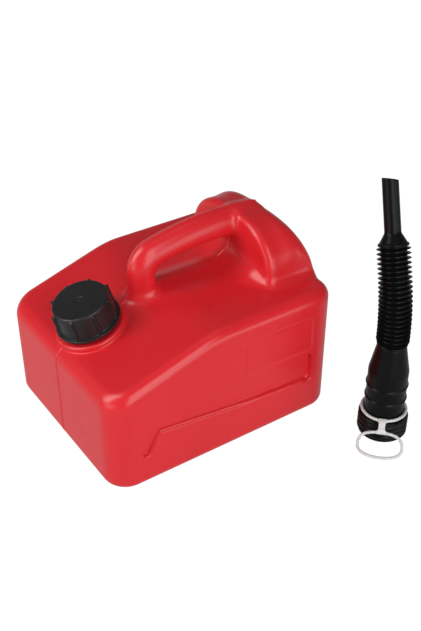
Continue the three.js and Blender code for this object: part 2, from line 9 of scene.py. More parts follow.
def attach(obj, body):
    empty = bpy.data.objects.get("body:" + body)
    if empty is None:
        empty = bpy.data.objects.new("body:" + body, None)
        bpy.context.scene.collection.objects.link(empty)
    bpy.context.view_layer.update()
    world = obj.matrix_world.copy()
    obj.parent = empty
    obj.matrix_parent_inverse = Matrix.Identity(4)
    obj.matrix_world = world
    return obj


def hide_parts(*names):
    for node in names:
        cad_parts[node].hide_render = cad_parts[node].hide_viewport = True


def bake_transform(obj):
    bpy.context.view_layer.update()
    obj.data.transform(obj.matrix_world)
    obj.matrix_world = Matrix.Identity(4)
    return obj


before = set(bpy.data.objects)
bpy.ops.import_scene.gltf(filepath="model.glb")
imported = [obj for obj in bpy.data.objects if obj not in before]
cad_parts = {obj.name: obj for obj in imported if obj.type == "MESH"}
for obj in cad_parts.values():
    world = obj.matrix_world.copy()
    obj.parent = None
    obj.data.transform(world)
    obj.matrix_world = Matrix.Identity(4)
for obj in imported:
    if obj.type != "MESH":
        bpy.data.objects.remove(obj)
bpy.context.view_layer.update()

mm = 0.001  # shapes are worked out in millimetres and stored in metres
weldGap = 1e-6
axisGap = 0.01  # the smallest radius of a turned skin, in millimetres


# Shape functions: below zero inside, in millimetres from the surface

# 0 before the start, 1 past the end, and a smooth S between: 3 t^2 - 2 t^3
def ease(start, end, value):
    share = np.clip((value - start) / (end - start), 0, 1)
    return share * share * (3 - 2 * share)


# What lies in both shapes, with their shared edge rounded to this radius
def roundBoth(a, b, radius):
    u, v = a + radius, b + radius
    return np.hypot(np.maximum(u, 0), np.maximum(v, 0)) - radius + np.minimum(np.maximum(u, v), 0)


# What lies in either shape, with a parabolic fillet where they meet
def blendEither(a, b, size):
    overlap = np.maximum(size - np.abs(a - b), 0) / size
    return np.minimum(a, b) - overlap * overlap * size / 4


# Distance from an oval |u|^p + |v|^p = 1 with these half sizes, squarer as the power p grows
def superRound(u, v, halfU, halfV, power):
    reach = np.hypot(u, v)
    share = (np.abs(u / halfU) ** power + np.abs(v / halfV) ** power) ** (1 / power)
    return reach * (1 - 1 / np.maximum(share, 0.05))


# Distance from a closed outline, below zero inside: the nearest of its edges, and a count of
# crossings
def polygonDistance(x, z, outline):
    points = np.array(outline, float)
    best = np.full(np.shape(x), 1e9)
    inside = np.zeros(np.shape(x), bool)
    for (ax, az), (bx, bz) in zip(points, np.roll(points, -1, axis=0)):
        dx, dz = bx - ax, bz - az
        along = np.clip(((x - ax) * dx + (z - az) * dz) / (dx * dx + dz * dz), 0, 1)
        best = np.minimum(best, np.hypot(x - ax - along * dx, z - az - along * dz))
        crosses = (az > z) != (bz > z)
        inside ^= crosses & (x < ax + (z - az) * dx / (dz if dz else 1e-9))
    return np.where(inside, -best, best)


# Skins and meshes

# The field at the corners of a block of cubes, worked out in slabs
def gridValues(field, low, counts, cell):
    xs, ys, zs = (low[i] + cell * np.arange(counts[i]) for i in range(3))
    slabs = []
    for start in range(0, counts[0], 16):
        block = np.meshgrid(xs[start : start + 16], ys, zs, indexing="ij")
        slabs.append(field(*block).astype(np.float32))
    return np.concatenate(slabs)


# Moves points along the field's slope onto its surface: each step is value over slope squared
def settle(field, points, rounds=4, eps=0.05):
    for _ in range(rounds):
        x, y, z = points.T
        value = field(x, y, z)
        rates = np.stack([
            field(x + eps, y, z) - field(x - eps, y, z),
            field(x, y + eps, z) - field(x, y - eps, z),
            field(x, y, z + eps) - field(x, y, z - eps),
        ], axis=1) / (2 * eps)
        steep = np.maximum((rates**2).sum(axis=1), 0.05)
        step = np.clip(value / steep, -1.5, 1.5)
        points = points - rates * step[:, None]
    return points


# A quad skin: one point in each cube that the surface crosses, joined across crossed edges
def netSkin(field, low, high, cell, rounds=3):
    counts = [int(np.ceil((high[i] - low[i]) / cell)) + 1 for i in range(3)]
    values = gridValues(field, low, counts, cell)
    inside = values < 0
    corners = [(i, j, k) for i in (0, 1) for j in (0, 1) for k in (0, 1)]

    def shifted(block, corner):
        return block[tuple(slice(c, n - 1 + c) for c, n in zip(corner, counts))]

    total = sum(shifted(inside, corner).astype(np.int8) for corner in corners)
    mixed = (total > 0) & (total < 8)
    index = np.full(mixed.shape, -1, np.int64)
    index[mixed] = np.arange(mixed.sum())
    cubes = np.argwhere(mixed)

    around = {c: values[tuple((cubes + c).T)] for c in corners}
    place = np.zeros((len(cubes), 3))
    hits = np.zeros(len(cubes))
    for a in corners:
        for axis in range(3):
            if a[axis]:
                continue
            b = tuple(1 if i == axis else a[i] for i in range(3))
            crossed = (around[a] < 0) != (around[b] < 0)
            gap = np.where(crossed, around[a] - around[b], 1)
            point = np.tile(np.array(a, float), (len(cubes), 1))
            point[:, axis] += around[a] / gap
            place[crossed] += point[crossed]
            hits += crossed
    points = np.array(low) + cell * (cubes + place / hits[:, None])

    quads = []
    for axis in range(3):
        b, c = (axis + 1) % 3, (axis + 2) % 3
        ahead = [slice(None)] * 3
        ahead[axis] = slice(1, None)
        behind = [slice(None)] * 3
        behind[axis] = slice(None, -1)
        crossed = np.argwhere(inside[tuple(ahead)] != inside[tuple(behind)])
        crossed = crossed[(crossed[:, b] > 0) & (crossed[:, c] > 0)]
        crossed = crossed[(crossed[:, b] < counts[b] - 1) & (crossed[:, c] < counts[c] - 1)]
        ring = []
        for stepB, stepC in ((1, 1), (0, 1), (0, 0), (1, 0)):
            cube = crossed.copy()
            cube[:, b] -= stepB
            cube[:, c] -= stepC
            ring.append(index[tuple(cube.T)])
        ring = np.stack(ring, axis=1)
        leaving = inside[tuple(crossed.T)]
        ring[~leaving] = ring[~leaving][:, ::-1]
        quads.append(ring)
    quads = np.concatenate(quads)

    # even out the quads, then put the points back on the surface
    for _ in range(rounds):
        pull = np.zeros_like(points)
        count = np.zeros(len(points))
        for i in range(4):
            for j in ((i + 1) % 4, (i + 3) % 4):
                np.add.at(pull, quads[:, i], points[quads[:, j]])
                np.add.at(count, quads[:, i], 1)
        points = 0.5 * points + 0.5 * pull / count[:, None]
        points = settle(field, points, 2)
    return settle(field, points, 6), quads


# A smooth mesh object from points in millimetres and faces of equal corner count
def meshFrom(name, points, faces):
    mesh = bpy.data.meshes.new(name)
    faces = np.asarray(faces)
    size = faces.shape[1]
    mesh.vertices.add(len(points))
    mesh.vertices.foreach_set("co", (np.asarray(points) * mm).ravel())
    mesh.loops.add(faces.size)
    mesh.loops.foreach_set("vertex_index", faces.ravel().astype(np.int32))
    mesh.polygons.add(len(faces))
    mesh.polygons.foreach_set("loop_start", np.arange(0, faces.size, size, dtype=np.int32))
    mesh.update(calc_edges=True)
    mesh.validate()
    mesh.shade_smooth()
    piece = bpy.data.objects.new(name, mesh)
    bpy.context.scene.collection.objects.link(piece)
    return piece


# The mesh's points in millimetres
def pointsOf(piece):
    places = np.zeros(len(piece.data.vertices) * 3)
    piece.data.vertices.foreach_get("co", places)
    return places.reshape(-1, 3) / mm


# Halves the edges where a detail lies, and puts the new points on the surface
def refine(piece, field, wanted, levels):
    for level in range(levels):
        chosen = wanted(pointsOf(piece), level)
        ends = np.zeros(len(piece.data.edges) * 2, np.int32)
        piece.data.edges.foreach_get("vertices", ends)
        picked = np.flatnonzero(chosen[ends.reshape(-1, 2)].all(axis=1))
        work = bmesh.new()
        work.from_mesh(piece.data)
        work.edges.ensure_lookup_table()
        edges = [work.edges[i] for i in picked]
        bmesh.ops.subdivide_edges(work, edges=edges, cuts=1, use_grid_fill=True)
        work.to_mesh(piece.data)
        work.free()
        places = pointsOf(piece)
        touched = wanted(places, level)
        places[touched] = settle(field, places[touched], 4)
        piece.data.vertices.foreach_set("co", (places * mm).ravel())
    piece.data.shade_smooth()
    piece.data.update()


# Quads of a grid whose columns run round, and whose rows do when closed
def gridFaces(rows, columns, closedRows=False):
    strips = rows if closedRows else rows - 1
    i, j = np.meshgrid(np.arange(strips), np.arange(columns), indexing="ij")
    i, j = i.ravel(), j.ravel()
    up, side = (i + 1) % rows, (j + 1) % columns
    here, there = i * columns, up * columns
    return np.stack([here + j, here + side, there + side, there + j], axis=1)


# Welds points that coincide, and keeps edges sharper than this angle crisp
def finishEdges(piece, degrees):
    work = bmesh.new()
    work.from_mesh(piece.data)
    bmesh.ops.remove_doubles(work, verts=work.verts, dist=weldGap)
    bmesh.ops.recalc_face_normals(work, faces=work.faces)
    work.to_mesh(piece.data)
    work.free()
    piece.data.shade_smooth()
    piece.data.set_sharp_from_angle(angle=radians(degrees))
    return piece


# A closed skin of revolution. The profile runs once round the section as (radius, height)
def turnedSkin(name, profile, columns, radiusAt=None, matrix=None, sharp=35):
    profile = np.array(profile, float)
    angle = np.arange(columns) / columns * 2 * pi
    radius = np.repeat(profile[:, :1], columns, axis=1)
    height = np.repeat(profile[:, 1:2], columns, axis=1)
    if radiusAt:
        radius = radiusAt(radius, height, angle[None, :])
    points = np.stack([radius * np.cos(angle), radius * np.sin(angle), height], axis=2)
    points = points.reshape(-1, 3)
    piece = meshFrom(name, points, gridFaces(len(profile), columns, True))
    if matrix:
        piece.data.transform(matrix)
    return finishEdges(piece, sharp)


# Points of an arc of a circle, angles in degrees
def arcPoints(centreX, centreZ, radius, start, end, count):
    angles = np.radians(np.linspace(start, end, count))
    return [(centreX + radius * cos(a), centreZ + radius * sin(a)) for a in angles]


# A polyline with points added so that none are further apart than the step
def linePoints(points, step):
    dense = []
    for (ax, az), (bx, bz) in zip(points, points[1:]):
        count = max(1, int(np.ceil(np.hypot(bx - ax, bz - az) / step)))
        dense += [(ax + (bx - ax) * i / count, az + (bz - az) * i / count) for i in range(count)]
    return dense + [points[-1]]


# Joins another closed piece to this one, or takes it away
def cut(piece, other, operation):
    modifier = piece.modifiers.new("cut", "BOOLEAN")
    modifier.object = other
    modifier.operation = operation
    modifier.solver = "MANIFOLD"
    bpy.context.view_layer.update()
    graph = bpy.context.evaluated_depsgraph_get()
    result = bpy.data.meshes.new_from_object(piece.evaluated_get(graph))
    piece.modifiers.clear()
    piece.data = result
    bpy.data.objects.remove(other)
    print("  ", operation.lower(), len(result.polygons), "faces")


# Tank

tank = {
    "length": 240,
    "width": 200.6,
    "deck": 131.6,
    "front": 98.4,
    "kinkX": -13.4,
    "kinkBlend": 14,
    "corner": 23,
    "foot": 8.4,
    "rim": 11.3,
    "wall": 2.5,
}

slope = atan((tank["deck"] - tank["front"]) / (tank["kinkX"] + tank["length"] / 2))


# The top face: a slope and a level deck, with a parabola round the kink
def deckAt(x):
    rise, blend = np.tan(slope), tank["kinkBlend"]
    past = np.clip(x - tank["kinkX"] + blend, 0, 2 * blend)
    start = tank["deck"] - rise * blend + rise * np.minimum(x - tank["kinkX"] + blend, 0)
    return start + rise * past - rise * past**2 / (4 * blend)


crown = {"height": 4.0, "half": 20, "front": (-64, -40), "rear": (100, 85)}


# The low rise of the deck along the parting line, an S curve in each direction
def crownAt(x, y):
    lengthwise = ease(*crown["front"], x) * ease(*crown["rear"], x)
    return crown["height"] * lengthwise * ease(crown["half"], 0, np.abs(y))


hump = {
    "frontX": 67,
    "rearX": 118.6,
    "backX": 90,  # from here to the rear its height falls off
    "halfWidth": 65,
    "height": 52.8,  # above the deck
    "lowest": 1.6,
    "fall": 0.08,
    "backPower": 2.1,
    "depth": 16,  # how far it reaches down into the body
    "square": 2.45,  # power of its oval, and what the rear adds to it
    "rearSquare": 0.9,
    "squareFrom": (79, 114),
    "edge": 6.5,  # rounding at the front and at the rear
    "rearEdge": 3,
    "fillet": 11,  # to the deck, and what the foot of the front adds to it
    "frontFillet": 13,
    "filletX": (82, 62),
    "filletY": (64, 40),
}


# The hump's cross-section: an oval whose height falls off toward the rear as a superellipse
def archField(x, y, z):
    back = np.clip((x - hump["backX"]) / (hump["rearX"] - hump["backX"]), 0, 0.999)
    bulge = hump["backPower"]
    level = hump["height"] - hump["fall"] * (x - hump["frontX"])
    height = hump["lowest"] + (level - hump["lowest"]) * (1 - back**bulge) ** (1 / bulge)
    power = hump["square"] + hump["rearSquare"] * ease(*hump["squareFrom"], x)
    above = np.maximum(z - tank["deck"], 0)
    return superRound(y, above, hump["halfWidth"], height, power)


# The hump: that oval between a front and a rear plane, made a true distance by its rate of change
def humpField(x, y, z):
    step = 0.5
    arch = archField(x, y, z)
    rate = (archField(x + step, y, z) - archField(x - step, y, z)) / (2 * step)
    arch = arch / np.sqrt(1 + np.minimum(rate**2, 9))
    block = roundBoth(arch, hump["frontX"] - x, hump["edge"])
    block = roundBoth(block, x - hump["rearX"], hump["rearEdge"])
    return np.maximum(block, tank["deck"] - hump["depth"] - z)


grip = {
    "postX": -29.6,  # centre line of the upright post
    "postFoot": 100,
    "postHalf": 12.4,
    "bend": 17.2,  # radius of the tight bend above it
    "arc": 246,  # radius of the long arc
    "crestX": 45,  # top of that arc
    "crestZ": 173.7,
    "crestHalf": 13.6,
    "swell": (-20, 60),  # where the bar grows from post to crest thickness
    "end": 92,
    "lap": 3,  # how far the three stretches overlap
    "half": 12.6,  # half the bar's width
    "roundness": 2.2,
    "taper": 0.24,  # narrower on top than below
    "shift": 0.6,
    "fillet": 8,
}


# The handle: one oval section swept along an upright post, a tight bend and one long arc
def gripField(x, y, z):
    bendX = grip["postX"] + grip["bend"]
    reach = grip["arc"] - grip["bend"]
    centreZ = grip["crestZ"] - grip["arc"]
    bendZ = centreZ + sqrt(reach**2 - (bendX - grip["crestX"]) ** 2)
    join = pi / 2 + atan((grip["crestX"] - bendX) / (bendZ - centreZ))
    power, half = grip["roundness"], grip["half"]
    lap = grip["lap"]

    def section(out, thick):
        out = out - grip["shift"]
        wide = 1 - grip["taper"] * np.clip(out / thick, -1.2, 1.2)
        return superRound(y / wide, out, half, thick, power)

    post = section(grip["postX"] - x, grip["postHalf"])
    post = np.maximum(post, np.maximum(z - bendZ - lap, grip["postFoot"] - z))

    turn = np.hypot(x - bendX, z - bendZ)
    angle = np.arctan2(z - bendZ, x - bendX)
    bend = section(turn - grip["bend"], grip["postHalf"])
    beyond = np.maximum(join - angle, -angle) * grip["bend"]
    bend = np.maximum(bend, beyond - lap)

    turn = np.hypot(x - grip["crestX"], z - centreZ)
    angle = np.arctan2(z - centreZ, x - grip["crestX"])
    thick = grip["postHalf"] + (grip["crestHalf"] - grip["postHalf"]) * ease(*grip["swell"], x)
    bar = section(turn - grip["arc"], thick)
    beyond = np.maximum((angle - join) * grip["arc"], x - grip["end"])
    return np.minimum(np.minimum(post, bend), np.maximum(bar, beyond - lap))


panel = {"low": (17, 75), "high": (91, 110), "corner": 3, "height": 0.55, "half": 0.8}


# Distance from the line of the raised frame: a rectangle with round corners
def panelDistance(x, z):
    (lowX, lowZ), (highX, highZ), corner = panel["low"], panel["high"], panel["corner"]
    u = np.abs(x - (lowX + highX) / 2) - (highX - lowX) / 2 + corner
    v = np.abs(z - (lowZ + highZ) / 2) - (highZ - lowZ) / 2 + corner
    return np.hypot(np.maximum(u, 0), np.maximum(v, 0)) + np.minimum(np.maximum(u, v), 0) - corner


channel = {
    "from": 88,  # the relief lies beyond this distance from the middle
    # at these lengths: the step's place, half width and depth, then the lip's width and depth
    "along": (-90, -84, -78, -68, 5, 35, 84, 88),
    "stepPlace": (0, 0.2, 0.2, 0.8, 0.8, 0.2, 0.2, 0),
    "stepHalf": (0.6, 0.6, 0.6, 0.6, 0.6, 1.7, 1.7, 0.9),
    "stepDepth": (2.8, 2.4, 2.4, 1.9, 1.9, 3.6, 3.6, 4.2),
    "lipWidth": (1.0, 1.8, 1.8, 3.6, 3.6, 1.0, 1.0, 1.0),
    "lipDepth": (0.3, 1.0, 1.0, 2.0, 2.0, 0.3, 0.3, 0.3),
    "upperX": (-92, -86.5, 20, 84.5, 84.6, 93),
    "upperZ": (65, 69, 60, 56.5, 70, 70),
    "lowerX": (-92, -73, 20, 84.5, 93),
    "lowerZ": (33, 55.3, 44.6, 40.5, 37.5),
    "outline": [
        (-91, 33), (-86, 33), (-73, 55.3), (20, 44.6), (84.5, 40.5), (88.5, 37.5), (93, 40.5),
        (93, 66.5), (88.5, 70.5), (84.5, 66.5), (84.5, 56.5), (20, 60), (-86.5, 69), (-92, 65),
    ],
}


# How far the side wall is pressed in: a channel with a step and a lip along its lower side, less
# a raised frame
def sideRelief(x, z):
    edge = polygonDistance(x, z, channel["outline"])
    upper = np.interp(x, channel["upperX"], channel["upperZ"])
    lower = np.interp(x, channel["lowerX"], channel["lowerZ"])
    below = ease(0.35, 0.75, np.clip((upper - z) / np.maximum(upper - lower, 4), 0, 1))
    place, half, depth, lipWidth, lipDepth = (
        np.interp(x, channel["along"], channel[name])
        for name in ("stepPlace", "stepHalf", "stepDepth", "lipWidth", "lipDepth"))
    place = -0.3 + (place + 0.3) * below
    half = 0.5 + (half - 0.5) * below
    lipStart = -0.8 + (place + half + 0.5) * below
    lipWidth = 1 + (lipWidth - 1) * below
    pressed = depth * ease(place + half, place - half, edge)
    pressed += lipDepth * ease(lipStart + lipWidth, lipStart, edge)
    raised = panel["height"] * ease(panel["half"], 0, np.abs(panelDistance(x, z)))
    return pressed - raised


# The box: a rectangle with round corners in plan, cut by the floor and by the top, with both
# edges rounded
def bodyField(x, y, z):
    side = np.abs(y)
    near = side > channel["from"]
    if near.any():
        side = side.copy()
        side[near] += sideRelief(x[near], z[near])
    u = np.abs(x) - tank["length"] / 2 + tank["corner"]
    v = side - tank["width"] / 2 + tank["corner"]
    plan = np.hypot(np.maximum(u, 0), np.maximum(v, 0)) + np.minimum(np.maximum(u, v), 0)
    lean = np.where(x < tank["kinkX"], cos(slope), 1)
    body = roundBoth(plan - tank["corner"], -z, tank["foot"])
    return roundBoth(body, (z - deckAt(x) - crownAt(x, y)) * lean, tank["rim"])


neck = {
    "setback": 37.8,  # of its foot from the front wall
    "boss": 32.6,  # radius of the round boss under it
    "bossTop": 5.0,
    "bossEdge": 2.4,
    "bossDepth": 6,
    "fillet": 1.6,
    "core": 20,  # radii of the neck, of its thread and of its bore
    "crest": 21.3,
    "bore": 17.2,
    "rim": 28.6,  # height along the axis
    "threadStart": 13.4,
    "turns": 1.75,
}

neckX = neck["setback"] - tank["length"] / 2
neckFoot = Matrix.Translation(Vector((neckX, 0, float(deckAt(neckX)))) * mm)
neckMatrix = neckFoot @ Matrix.Rotation(-slope, 4, "Y")


# Distance from the neck's axis, and height along it above the sloping top
def neckSpace(x, y, z):
    dx, dz = x - neckX, z - deckAt(neckX)
    return np.hypot(dx * cos(slope) + dz * sin(slope), y), dz * cos(slope) - dx * sin(slope)


# The round boss that carries the neck: a disc square to the slope with a rounded edge
def bossField(x, y, z):
    radius, height = neckSpace(x, y, z)
    disc = roundBoth(radius - neck["boss"], height - neck["bossTop"], neck["bossEdge"])
    return np.maximum(disc, -height - neck["bossDepth"])


seam = {"half": 0.8, "height": 0.7, "groove": 1.5, "grooved": (-20, 55), "grooveTop": 139}


# The whole tank: box, hump, handle and boss with a fillet at each join, and the mould's parting
# seam
def tankField(x, y, z):
    side = np.abs(y)
    foot = ease(*hump["filletX"], x) * ease(*hump["filletY"], side)
    ramp = hump["fillet"] + hump["frontFillet"] * foot
    shell = blendEither(bodyField(x, y, z), humpField(x, y, z), ramp)
    shell = blendEither(shell, gripField(x, y, z), grip["fillet"])
    shell = blendEither(shell, bossField(x, y, z), neck["fillet"])
    start, end = seam["grooved"]
    grooved = ease(start, start + 6, x) * ease(end, end - 6, x) * (z < seam["grooveTop"])
    raised = seam["height"] * (1 - seam["groove"] * grooved) * ease(4, 9, z)
    return shell - raised * ease(seam["half"], 0, side)


thread = {"pitch": 5.4, "rootHalf": 1.4, "crestHalf": 0.7}


# Share from 0 to 1 of a helical ridge: its crest climbs one pitch per turn and fades at both ends
def ridge(angle, height, start, turns):
    pitch, root, crest = thread["pitch"], thread["rootHalf"], thread["crestHalf"]
    best = np.zeros(np.broadcast(angle, height).shape)
    for turn in range(-1, int(turns) + 2):
        along = turn + (angle / (2 * pi)) % 1.0
        off = np.abs(height - start - pitch * along)
        ends = ease(-0.02, 0.1, along) * ease(turns + 0.02, turns - 0.1, along)
        best = np.maximum(best, ends * np.clip((root - off) / (root - crest), 0, 1))
    return best * best * (3 - 2 * best)


tankMesh = {
    "low": (-121.8, -102.0, -3.1),
    "high": (122.8, 102.5, 190),
    "cell": 2.4,
    "reach": (3.5, 1.5),  # how far a detail is refined, in the first and the second round
    "seamReach": (2.9, 1.3),
    "hollowLow": (-122, -102, -2),
    "hollowHigh": (122, 102, 190),
    "hollowCell": 6.6,
    "hollowShort": 4.5,
    "columns": 120,
}


# The hollow inside: a coarser skin of the same field, one wall thickness in
def buildCavity():
    reach = tank["width"] / 2 - tankMesh["hollowShort"] - tank["wall"]

    def field(x, y, z):
        return np.maximum(tankField(x, y, z) + tank["wall"] + 0.4, np.abs(y) - reach)

    low, high, cell = tankMesh["hollowLow"], tankMesh["hollowHigh"], tankMesh["hollowCell"]
    points, quads = netSkin(field, low, high, cell, 1)
    return meshFrom("tankHollow", points, quads)


# The tank: outer skin, threaded neck, hollow and bore
def buildTank():
    points, quads = netSkin(tankField, tankMesh["low"], tankMesh["high"], tankMesh["cell"])
    print("tank skin", len(quads), "quads")
    shell = meshFrom("tankShell", points, quads)

    def wanted(places, level):
        x, y, z = places.T
        reach = tankMesh["reach"][level]
        side = np.abs(y) > tank["width"] / 2 - 4
        detail = np.zeros(len(places), bool)
        edge = polygonDistance(x[side], z[side], channel["outline"])
        frameEdge = np.abs(panelDistance(x[side], z[side]))
        detail[side] = ((edge > -reach - 1) & (edge < reach + 2.7)) | (frameEdge < reach)
        radius, height = neckSpace(x, y, z)
        rim = (np.abs(radius - neck["boss"] + 0.5) < reach + 0.6) & (height < 8) & (height > -9)
        return detail | rim | (np.abs(y) < tankMesh["seamReach"][level])

    refine(shell, tankField, wanted, 2)
    print("tank refined", len(shell.data.polygons), "faces")

    core, bore, top = neck["core"], neck["bore"], neck["rim"]
    outer = linePoints([(core, 2), (core, top - 0.8)], 0.5)
    lip = arcPoints(core - 0.8, top - 0.8, 0.8, 0, 90, 5)
    lip += arcPoints(bore + 0.6, top - 0.6, 0.6, 90, 180, 5)
    profile = [(axisGap, 2)] + outer + lip + [(bore, 3), (axisGap, 3)]

    def threaded(radius, height, angle):
        outside = radius > core - 0.01
        grown = (neck["crest"] - core) * ridge(angle, height, neck["threadStart"], neck["turns"])
        return radius + outside * grown

    columns = tankMesh["columns"]
    cut(shell, turnedSkin("neckTube", profile, columns, threaded, neckMatrix), "UNION")
    cut(shell, buildCavity(), "DIFFERENCE")
    drill = [(axisGap, -12), (bore, -12), (bore, top - 2), (axisGap, top - 2)]
    cut(shell, turnedSkin("boreTool", drill, columns, None, neckMatrix), "DIFFERENCE")
    finishEdges(shell, 50)
    return shell


# Cap

cap = {
    "base": 8.6,  # heights along the neck's axis
    "flangeTop": 10.8,
    "ribTop": 31.6,
    "top": 33.5,
    "ceiling": 31.0,
    "flange": 30,  # radii
    "filletOut": 28.6,
    "filletIn": 27.6,
    "foot": 27.2,
    "topRadius": 25.9,
    "edge": 2.1,
    "disc": 24.2,
    "bore": 21.8,
    "crest": 20.5,  # of the thread inside
    "threadTurns": 1.5,
    "ribs": 8,
    "ribRadius": 28.9,
    "ribHalf": 1.5,
    "ribAngle": -3,
    "gateDish": 4.2,  # the mould's gate mark in the middle
    "gatePip": 1.1,
    "gateDepth": 0.5,
    "discRings": 12,
    "columns": 640,
}


# The cap: a turned skin whose skirt bulges to the rib radius at each rib, with a helical ridge
# inside
def buildCap():
    base, top, edge = cap["base"], cap["top"], cap["edge"]
    shoulder = [(cap["topRadius"] - edge + x, top - edge + z)
                for x, z in arcPoints(0, 0, edge, 0, 90, 8)]
    pip, dish, depth = cap["gatePip"], cap["gateDish"], cap["gateDepth"]
    rings = cap["discRings"]
    ringGap = (cap["disc"] - dish - 0.3) / rings
    disc = [(cap["disc"] - i * ringGap, top) for i in range(1, rings + 1)]
    disc += [(dish, top - 0.03), (dish - 0.3, top - depth * 0.8), (dish - 0.7, top - depth)]
    disc += [(pip + 0.5, top - depth), (pip + 0.2, top - depth + 0.05)]
    disc += [(pip, top - depth * 0.4), (pip - 0.2, top), (pip / 2, top + 0.05)]
    flangeTop = cap["flangeTop"]
    skirt = [(cap["filletOut"], flangeTop), (cap["filletIn"], flangeTop + 0.1)]
    skirt += [(cap["foot"], flangeTop + 0.6), (cap["topRadius"], top - edge)]
    outer = (
        [(cap["bore"], base), (cap["flange"] - 0.5, base)]
        + arcPoints(cap["flange"] - 0.5, base + 0.5, 0.5, -90, 0, 4)
        + arcPoints(cap["flange"] - 0.5, flangeTop - 0.5, 0.5, 0, 90, 4)
        + linePoints(skirt, 0.45) + shoulder + disc
    )
    inner = ([(axisGap, top + 0.05), (axisGap, cap["ceiling"])]
             + [(cap["bore"] - 1, cap["ceiling"])]
             + linePoints([(cap["bore"], cap["ceiling"] - 1), (cap["bore"], base + 0.1)], 0.35))
    start = neck["threadStart"] - thread["pitch"] / 2
    ribGap = 2 * pi / cap["ribs"]

    def shaped(radius, height, angle):
        inside = (np.abs(radius - cap["bore"]) < 0.01) & (height < cap["ceiling"] - 0.9)
        grown = (cap["bore"] - cap["crest"]) * ridge(angle, height, start, cap["threadTurns"])
        inner = radius - inside * grown
        off = (angle - radians(cap["ribAngle"]) + ribGap / 2) % ribGap - ribGap / 2
        across = np.abs(off) * cap["foot"]
        rib = ease(cap["ribHalf"] + 0.5, cap["ribHalf"] - 0.9, across)
        outside = (height > flangeTop - 0.05) & (radius > cap["topRadius"] - 0.3)
        reach = np.maximum(cap["ribRadius"], radius)
        upper = ease(cap["ribTop"] + 0.4, cap["ribTop"] - 0.3, height)
        return np.where(outside, inner + (reach - inner) * rib * upper, inner)

    piece = turnedSkin("capShell", outer + inner, cap["columns"], shaped, None, 40)
    piece.data.transform(neckMatrix)
    return piece


# Spout

spout = {
    "x": 134.9,
    "y": -158.7,
    "lean": 69,  # the way in which it leans, from +X
    "bend": 23,  # and how far
    "wall": 1.6,
    "collar": 20.5,  # height of the threaded collar, and its radii
    "crest": 23.4,
    "groove": 22.1,
    "shoulder": 2.6,
    "barrel": 18.5,
    "barrelTop": 70.7,
    "beads": (40, 54.7),  # heights of the two beads
    "bead": 1.1,
    "beadHalf": 1.7,
    "coneRadius": 12.9,
    "coneTop": 98.2,
    "step": 14,
    "top": 100.8,
    "bore": 10.6,
    "leastBore": 9.5,
    "columns": 192,
}


# Places the spout on the floor, turned so that +X is the way in which it leans
def spoutMatrix():
    foot = Matrix.Translation((spout["x"] * mm, spout["y"] * mm, 0))
    return foot @ Matrix.Rotation(radians(spout["lean"]), 4, "Z")


# The collar's outside thread: a cosine along a helix, which fades at both ends
def collarWave(angle, height):
    pitch = thread["pitch"]
    fade = pitch / 4
    strength = np.clip(np.minimum(height / fade, (spout["collar"] - height) / fade), 0, 1)
    wave = 0.5 - 0.5 * np.cos(2 * pi * (height / pitch - angle / (2 * pi)))
    return strength * wave


# Threaded collar, barrel with two beads, and cone, as one turned skin
def buildSpoutBase():
    s = spout
    wall, groove, barrel = s["wall"], s["groove"], s["barrel"]
    shoulderTop = s["collar"] + s["shoulder"]
    collar = linePoints([(groove, 0), (groove, s["collar"])], 0.45)
    middle = [(barrel + 0.9, shoulderTop - 1.2), (barrel + 0.25, shoulderTop - 0.3)]
    middle += [(barrel, shoulderTop + 0.5)]
    beads = []
    for z in s["beads"]:
        half = s["beadHalf"]
        beads += [(barrel + s["bead"] * 0.5 * (1 + cos(pi * t)), z + half * t)
                  for t in np.linspace(-1, 1, 11)]
    cone = [(barrel, s["barrelTop"] - 1.5), (barrel - 0.15, s["barrelTop"] + 0.2),
            (barrel - 0.55, s["barrelTop"] + 1.8), (s["coneRadius"] + 0.35, s["coneTop"] - 1.2),
            (s["coneRadius"], s["coneTop"] - 0.2)]
    step = [(s["step"] - 0.25, s["coneTop"] + 0.5), (s["step"], s["coneTop"] + 0.9),
            (s["step"], s["top"] - 0.9), (s["step"] - 0.3, s["top"] - 0.45),
            (s["coneRadius"] - 0.4, s["top"])]
    outer = linePoints([*collar, *middle, *beads, *cone, *step], 2.5)
    inner = [(max(r - wall, s["leastBore"]), z) for r, z in [*collar, *middle]]
    inner += [(barrel - wall, s["barrelTop"]), (s["bore"], s["coneTop"]), (s["bore"], s["top"])]
    inner = linePoints(inner, 3)[::-1]
    limit = s["collar"] + 0.01

    def threaded(radius, height, angle):
        return radius + (height < limit) * (s["crest"] - groove) * collarWave(angle, height)

    return turnedSkin("spoutBaseShell", outer + inner, s["columns"], threaded, spoutMatrix(), 45)


bellows = {
    "start": 101.1,
    "length": 88.6,
    "ribs": 21,
    "rowsPerRib": 12,
    "columns": 96,
    "crest": 15,
    "root": 11.5,
    "wall": 1.1,
    "crestWall": 0.2,
    "sharp": 2.6,
    "bendStart": 3,
    "bendLength": 60,
    "grip": 2.0,  # how much of each end stays stiff
}


# Centre and heading along the bellows in the spout's own plane: straight, an arc, straight
def bellowsPlace(distance):
    arc = bellows["bendLength"]
    radius = arc / radians(spout["bend"])
    along = np.clip(distance - bellows["bendStart"], 0, arc)
    heading = along / radius
    straight = distance - bellows["bendStart"] - along
    x = radius * (1 - np.cos(heading)) + straight * np.sin(heading)
    z = bellows["start"] + bellows["bendStart"]
    z = z + radius * np.sin(heading) + straight * np.cos(heading)
    return x, z, heading


